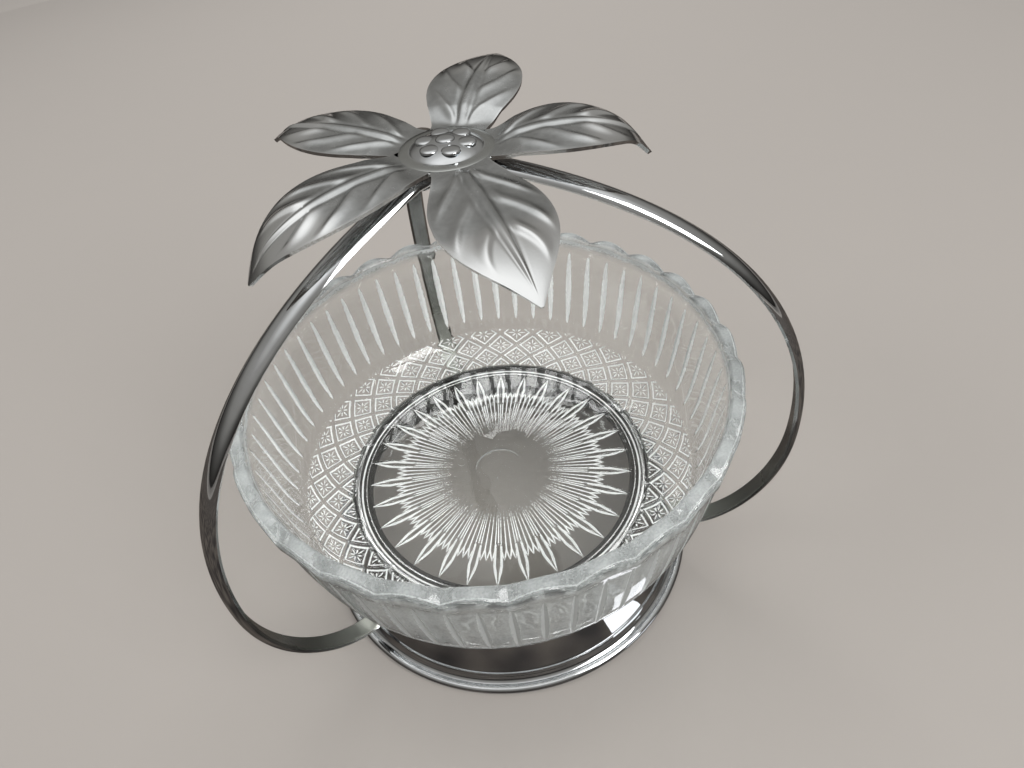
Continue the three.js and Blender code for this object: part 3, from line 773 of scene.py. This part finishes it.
def arm_section():
    """Half-round: a flat inner face with soft edges, and a domed outer one."""
    side = arm_width / 2
    flat = arm_thickness / 2
    corner = Vector((flat - arm_edge, side))
    points = [Vector((flat, side - arm_edge)), corner, Vector((-flat, 0)),
              Vector((flat - arm_edge, -side)), Vector((flat, -side + arm_edge))]
    dome = Vector((-flat, side - arm_edge))
    handles = []
    top_handle = corner + (dome - corner) * 2 / 3
    low_handle = Vector((top_handle.x, -top_handle.y))
    for i, place in enumerate(points):
        before = points[i - 1]
        after = points[(i + 1) % len(points)]
        left = place + (before - place) / 3
        right = place + (after - place) / 3
        if i == 1:
            right = top_handle
        if i == 2:
            left = place + (dome - place) * 2 / 3
            right = Vector((left.x, -left.y))
        if i == 3:
            left = low_handle
        handles.append(tuple(Vector((v.x, v.y, 0)) for v in (left, place, right)))
    section = curve_through("arm_section", handles, closed=True)
    section.data.resolution_u = 8
    section.data.dimensions = "2D"
    return section


def arms(material):
    section = arm_section()
    handles = [tuple(Vector((v.x, v.y, 0)) for v in triple) for triple in arm_line()]
    strip = curve_through("arm_strip", handles)
    strip.data.dimensions = "2D"
    strip.data.fill_mode = "NONE"
    strip.data.resolution_u = 40
    strip.data.bevel_mode = "OBJECT"
    strip.data.bevel_object = section
    strip.data.use_fill_caps = True
    only(strip)
    bpy.ops.object.convert(target="MESH")
    strip = bpy.context.object
    strip.matrix_world = Matrix.Rotation(math.radians(90), 4, "X")
    applied(strip)
    weld()
    bpy.data.objects.remove(section)
    mark_inner_face(strip)
    for side, direction in zip(["back", "left", "right"], arm_directions):
        matrix = Matrix.Translation((axis_x, axis_y, 0)) @ Matrix.Rotation(direction, 4, "Z")
        obj = applied(in_scene("strip_" + side, strip.data.copy(), matrix))
        placed(obj, "stand", material, "arm_" + side, smooth_degrees=40)
    bpy.data.objects.remove(strip)


def mark_inner_face(strip):
    """Marks the flat inner face towards the foot, where the plate is dull."""
    line = []
    for (_, a, b), (c, d, _) in zip(arm_line(), arm_line()[1:]):
        for share in np.linspace(0, 1, 60):
            line.append(tuple(bezier(a, b, c, d, share)))
    line = np.array(line)
    points = points_of(strip)
    flat = np.column_stack([points[:, 0], points[:, 2]])
    nearest = np.argmin(np.linalg.norm(flat[:, None] - line[None], axis=2), axis=1)
    tangent = directions(line)
    inward = np.column_stack([tangent[:, 1], -tangent[:, 0]])[nearest]
    off = np.sum((flat - line[nearest]) * inward, axis=1)
    inner = rise(off, 0.2 * MM, 0.9 * MM)
    low = 1 - rise(points[:, 2], 20 * MM, 70 * MM)
    set_number(strip, "dulled_and_shaded", 0.5 * inner * (0.35 + 0.65 * low))


# Rosette: five stamped leaves on a disc

leaf_reach = 45.5 * MM
leaf_half_width = 10.8 * MM
leaf_rise = 4.4 * MM
leaf_tip_drop = 8.6 * MM
leaf_vault = 0.8 * MM
leaf_root = 7.4 * MM  # under the boss
leaf_rows = 120
leaf_columns = 48
midrib_height = 0.45 * MM
groove_depth = 0.12 * MM  # beside the midrib
vein_height = 0.38 * MM
vein_starts = [0.02, 0.25, 0.48]  # along the midrib
vein_slant = 0.36  # how far along a vein reaches at the leaf's edge
# How far along a leaf, and its width there as a share of the widest place
width_shares = [(0, 0.54), (0.07, 0.57), (0.13, 0.66), (0.23, 0.83), (0.34, 0.96), (0.47, 1.0),
                (0.61, 0.91), (0.745, 0.68), (0.88, 0.34), (0.95, 0.16), (1, 0.03)]
# Each leaf as it is bent: direction in degrees, then shares of the reach, the rise, the tip's drop and
# the width, how far the very tip is hooked down, and the roll about its midrib in degrees
leaves = {
    "right": (-13, 0.9, 0.62, 0.5, 0.97, 1.9 * MM, -6),
    "front": (-87, 1.04, -0.1, 0.72, 1.0, 0, 0),
    "left_front": (-159, 1.0, 0.36, 0.95, 0.92, 0.6 * MM, 9),
    "left_back": (137, 0.98, 0.36, 0.2, 0.9, 1.6 * MM, 0),
    "back": (59, 0.93, 0.85, -0.3, 0.95, 0, 0),
}


def leaf_middle(reach_share, rise_share, drop_share):
    """The midrib at equal steps: radius, height and direction."""
    reach = leaf_reach * reach_share
    span = reach - leaf_root
    handle = rosette_top + leaf_rise * rise_share * 1.4
    a = np.array([leaf_root, rosette_top])
    b = np.array([leaf_root + span * 0.36, handle])
    c = np.array([reach - span * 0.22, handle])
    d = np.array([reach, rosette_top - leaf_tip_drop * drop_share])
    share = np.linspace(0, 1, 400)[:, None]
    line = even_steps(bezier(a, b, c, d, share), 400)
    bent = rise(line[:, 0], flange_radius - 0.6 * MM, flange_radius + 5 * MM)  # level under the boss
    line[:, 1] = rosette_top + (line[:, 1] - rosette_top) * bent
    return line, directions(line)


def leaf_relief(along, across):
    """Height of the stamping, and where the plate is smoother and lighter, the lightness being painted
    highlight.
    Narrow veins stand on smooth metal, each with a steep side towards the tip, and fade before the edge."""
    side = np.abs(across)
    place = along - vein_slant * side ** 1.25
    veins = np.zeros_like(along)
    for start in vein_starts:
        off = place - start - 0.05
        width = np.where(off < 0, 0.07, 0.028)
        veins = np.maximum(veins, np.exp(-(off / width) ** 2))
    veins *= rise(side, 0.06, 0.3) * (1 - rise(side, 0.65, 1.0)) * (1 - rise(along, 0.62, 0.84))
    rib_width = np.interp(along, [0, 0.5, 1], [0.13, 0.09, 0.05])
    rib = np.exp(-(side / rib_width) ** 4) * (1 - rise(along, 0.78, 0.96))
    groove = np.exp(-((side - 1.7 * rib_width) / (0.45 * rib_width)) ** 2)
    groove *= 1 - rise(along, 0.75, 0.95)
    outer_veins = 1 + 0.6 * rise(along, 0.45, 0.6)
    height = midrib_height * rib + vein_height * veins * outer_veins - groove_depth * groove
    # Painted highlight as well as smoothness: the outer part, the edge and the vein crests.
    polish_and_highlight = 0.9 * rise(along, 0.5, 0.62) + 0.6 * rise(side, 0.94, 1.0) + 0.2 * veins
    return height, np.clip(polish_and_highlight, 0, 1)


def leaf(name, direction, reach_share, rise_share, drop_share, width_share, hook, roll):
    nothing_selected()
    bpy.ops.mesh.primitive_grid_add(x_subdivisions=leaf_rows, y_subdivisions=leaf_columns, size=2)
    obj = bpy.context.object
    obj.name = name
    points = points_of(obj)
    along = (points[:, 0] + 1) / 2
    across = points[:, 1]
    line, tangent = leaf_middle(reach_share, rise_share, drop_share)
    even = np.linspace(0, 1, len(line))
    middle_r, middle_z, tangent_r, tangent_z = [
        np.interp(along, even, values) for values in (*line.T, *tangent.T)]
    table = np.array(eased(width_shares, 60))
    narrowed = 1 - (1 - width_share) * rise(along, 0.06, 0.3)
    half = leaf_half_width * narrowed * np.interp(along, table[:, 0], table[:, 1])
    begun = rise(along, 0.05, 0.14)
    height, polish_and_highlight = leaf_relief(along, across)
    fall = leaf_vault * np.abs(across) ** 2.5 * half / leaf_half_width * rise(along, 0.06, 0.22)
    lift = height * begun - fall
    points[:, 0] = middle_r - lift * tangent_z
    tilt = math.radians(roll) * rise(along, 0.06, 0.4)
    points[:, 1] = across * half * np.cos(tilt)
    points[:, 2] = (middle_z + lift * tangent_r - hook * rise(along, 0.74, 1.0) ** 2
                    + across * half * np.sin(tilt))
    set_points(obj, points)
    set_number(obj, "polish_and_highlight", polish_and_highlight)
    obj.matrix_world = (Matrix.Translation((axis_x, axis_y, 0))
                        @ Matrix.Rotation(math.radians(direction), 4, "Z"))
    return applied(obj)


def rosette(material):
    sheets = [leaf("leaf_" + name, *shape) for name, shape in leaves.items()]
    flowed = joined("rosette_sheet", sheets)
    solid = flowed.modifiers.new("sheet", "SOLIDIFY")
    solid.thickness = rosette_sheet
    solid.offset = -1
    only(flowed)
    bpy.ops.object.modifier_apply(modifier=solid.name)
    edge = 0.25 * MM
    sunk = 0.06 * MM
    top = rosette_top - sunk
    disc = turned("rosette_disc", [
        (0, rosette_bottom), (rosette_radius - edge, rosette_bottom),
        (rosette_radius, rosette_bottom + edge), (rosette_radius, top - edge),
        (rosette_radius - edge, top), (0, top)], 96)
    obj = joined("leaf_rosette_stamped", [flowed, disc])
    placed(obj, "stand", material, "leaf_rosette", smooth_degrees=50)


# Boss: a thin flange, flush with the leaves, round a low dome with seven flattened berries

flange_radius = 9.6 * MM
flange_edge = 0.17 * MM
boss_dome_radius = 7.4 * MM
boss_dome_height = 1.75 * MM
berry_radius = 1.95 * MM
berry_height = 0.42 * MM
berry_ring = 4.3 * MM


def boss(material):
    low = rosette_top - 0.1 * MM
    foot = rosette_top + 0.2 * MM  # of the dome
    berry_sunk = 0.35 * MM  # how deep a berry starts in the dome

    def dome_surface(radius):
        return foot + boss_dome_height * (1 - (radius / boss_dome_radius) ** 2) ** 0.8

    outline = [(0, low), (flange_radius - 0.1 * MM, low), (flange_radius, low + 0.1 * MM),
               (flange_radius - 0.15 * MM, low + flange_edge),
               (flange_radius - 1.0 * MM, low + 0.24 * MM),
               (boss_dome_radius + 0.4 * MM, low + 0.28 * MM)]
    outline += [(boss_dome_radius * share, dome_surface(boss_dome_radius * share))
                for share in (1.0, 0.985, 0.95, 0.9, 0.83, 0.74, 0.62, 0.48, 0.32, 0.16, 0)]
    cap = turned("boss_cap", outline, 128)
    points = points_of(cap)
    radius = np.hypot(points[:, 0] - axis_x, points[:, 1] - axis_y)
    on_flange = rise(radius, boss_dome_radius - 0.2 * MM, boss_dome_radius + 0.4 * MM)
    set_number(cap, "dulled_and_shaded", 0.25 * on_flange)
    parts = [cap]
    for i in range(7):
        angle = FULL_TURN * (i + 0.5) / 6
        out = 0 if i == 6 else berry_ring
        centre = (axis_x + out * math.cos(angle), axis_y + out * math.sin(angle))
        seat = dome_surface(out) - berry_sunk
        profile = [(berry_radius * side, seat + (berry_height + berry_sunk) * up) for side, up in (
            (1.0, 0), (1.0, 0.42), (0.97, 0.53), (0.91, 0.66), (0.83, 0.77), (0.72, 0.86), (0.57, 0.93),
            (0.4, 0.97), (0.2, 0.99), (0, 1.0))]
        parts.append(turned("berry", [(0, seat)] + profile, 40, centre))
    obj = joined("boss_with_berries", parts)
    placed(obj, "stand", material, "berry_boss", smooth_degrees=40)


# Camera and studio

def camera():
    """A camera at the photograph's viewing angle, aimed at the middle of the bowl's foot."""
    image_width = 1024
    focal_pixels = 680
    distance = 224.6 * MM
    elevation = math.radians(44.718)
    roll = math.radians(-7.272)  # about the line of sight
    side_shift = 1.235 * MM
    up_shift = 44.82 * MM
    turn = math.radians(-13.15)  # about the dish's axis
    back = Vector((0, -math.cos(elevation), math.sin(elevation)))
    right = Vector((1, 0, 0))
    up = back.cross(right)
    level = math.cos(roll) * right + math.sin(roll) * up
    upright = -math.sin(roll) * right + math.cos(roll) * up
    place = back * distance + side_shift * level + up_shift * upright
    turned_frame = Matrix((level, upright, back)).transposed().to_4x4()
    turned_frame.translation = place
    data = bpy.data.cameras.new("photo_camera")
    data.sensor_width = 36.0
    data.lens = focal_pixels / image_width * data.sensor_width
    data.clip_start = 1 * MM
    data.clip_end = 20
    matrix = Matrix.Translation((axis_x, axis_y, 0)) @ Matrix.Rotation(turn, 4, "Z") @ turned_frame
    bpy.context.scene.camera = in_scene("photo_camera", data, matrix)


def lamp(name, place, size, power, seen=False):
    """A soft area lamp aimed at the middle of the dish. Metal mirrors it only if it is seen."""
    data = bpy.data.lights.new(name, "AREA")
    data.shape = "RECTANGLE"
    data.size, data.size_y = size
    data.energy = power
    dish_middle = Vector((0, 0, 60 * MM))
    towards = dish_middle - Vector(place)
    aimed = Matrix.Translation(place) @ towards.to_track_quat("-Z", "Y").to_matrix().to_4x4()
    in_scene(name, data, aimed).visible_glossy = seen


def studio_floor():
    nothing_selected()
    bpy.ops.mesh.primitive_plane_add(size=6.0, location=(0, 0, 0))
    floor = bpy.context.object
    floor.name = "studio_floor"
    material, _, shader = new_material("studio_floor")
    feed(shader, {"Base Color": linear("#aaa49e"), "Roughness": 0.75})
    floor.data.materials.append(material)


def reflected_things():
    """A dark table round the dish and a window's light that falls on it. Only reflections see them."""
    table_inner = foot_radius + 1 * MM
    table_outer = 900 * MM
    table_height = 0.4 * MM
    glare_place = (axis_x + 28.6 * MM, axis_y - 57.3 * MM, 0.6 * MM)
    glare_turn = math.radians(-63.5)
    glare_size = (9 * MM, 15 * MM, 1.0)
    table = turned("dark_table", [(table_inner, table_height), (table_outer, table_height)], 96)
    material, tree, shader = new_material("dark_table")
    place = add(tree, "TexCoord", out="Object")
    blotches = add(tree, "TexNoise", {"Vector": place, "Scale": 1 / (24 * MM), "Detail": 1.0})
    colour = add(tree, "ValToRGB", {0: blotches}, stops=[(0.35, "#2c2725"), (0.65, "#5f5750")])
    feed(shader, {"Base Color": colour, "Roughness": 0.9})
    table.data.materials.append(material)
    nothing_selected()
    bpy.ops.mesh.primitive_plane_add(size=1.0, location=glare_place, rotation=(0, 0, glare_turn))
    glare = bpy.context.object
    glare.name = "window_glare"
    glare.scale = glare_size
    applied(glare)
    material, _, shader = new_material("window_glare")
    feed(shader, {"Emission Color": linear("#f4f7ff"), "Emission Strength": 1.15})
    glare.data.materials.append(material)
    for obj in [table, glare]:
        obj.visible_camera = False
        obj.visible_diffuse = False
        obj.visible_transmission = False
        obj.visible_shadow = False


def room():
    """Plain white light from all sides. The camera and the glass see a pale backdrop, and the metal
    sees a room: dim walls, a grey ceiling and a white light overhead."""
    world = bpy.data.worlds.new("studio_world")
    bpy.context.scene.world = world
    world.use_nodes = True
    tree = world.node_tree
    ground = tree.nodes["Background"]
    feed(ground, {"Color": linear("#ffffff"), "Strength": 0.42})
    direction = add(tree, "TexCoord", out="Generated")
    up = add(tree, "SeparateXYZ", {"Vector": direction}, out="Z")
    backdrop = add(tree, "ValToRGB", {0: up}, stops=[
        (0.0, "#d6d3cf"), (0.28, "#b7b4b0"), (0.5, "#3b3937"), (1.0, "#23211f")])
    walls = add(tree, "ValToRGB", {0: up}, stops=[
        (0.0, "#2e2c2a"), (0.2, "#605e5b"), (0.4, "#94928e"), (0.66, "#a3a19e"), (0.78, "#c4c3c0"),
        (0.9, "#fafaf9")])
    rays = add(tree, "LightPath").node.outputs
    seen = add(tree, "Mix", {0: rays["Is Glossy Ray"], 6: backdrop, 7: walls}, out=2,
               data_type="RGBA")
    overhead = add(tree, "MapRange", {0: up, 1: 0.88, 2: 0.97, 3: 1.0, 4: 1.35})
    shown = add(tree, "Background", {"Color": seen, "Strength": overhead})
    first = add(tree, "Math", {0: rays["Is Camera Ray"], 1: rays["Is Glossy Ray"]},
                operation="MAXIMUM")
    either = add(tree, "Math", {0: first, 1: rays["Is Transmission Ray"]}, operation="MAXIMUM")
    unspread = add(tree, "Math", {0: rays["Diffuse Depth"], 1: 0.5}, operation="LESS_THAN")
    shows = add(tree, "Math", {0: either, 1: unspread}, operation="MULTIPLY")
    mixed = add(tree, "MixShader", {0: shows, 1: ground.outputs[0], 2: shown})
    feed(tree.nodes["World Output"], {"Surface": mixed})


bpy.context.scene.view_settings.view_transform = "Standard"

plate = chromium_plate()
steel = fastener_steel()
bowl()
pedestal(plate)
arms(plate)
rosette(satin_plate())
boss(plate)
for name in ["hub_plate", "hub_washer", "hub_screw"]:
    dressed(name, steel)
for side in ["back", "left", "right"]:
    dressed("pedestal_rivet_" + side, steel)
    dressed("hub_rivet_" + side, steel)
studio_floor()
reflected_things()
lamp("window_lamp", place=(0.5, -0.75, 0.85), size=(0.5, 0.7), power=9, seen=True)
lamp("side_lamp", place=(-0.9, 0.1, 0.7), size=(0.5, 0.5), power=4)
lamp("back_lamp", place=(0.25, 0.85, 0.75), size=(0.8, 0.35), power=5)
room()
camera()
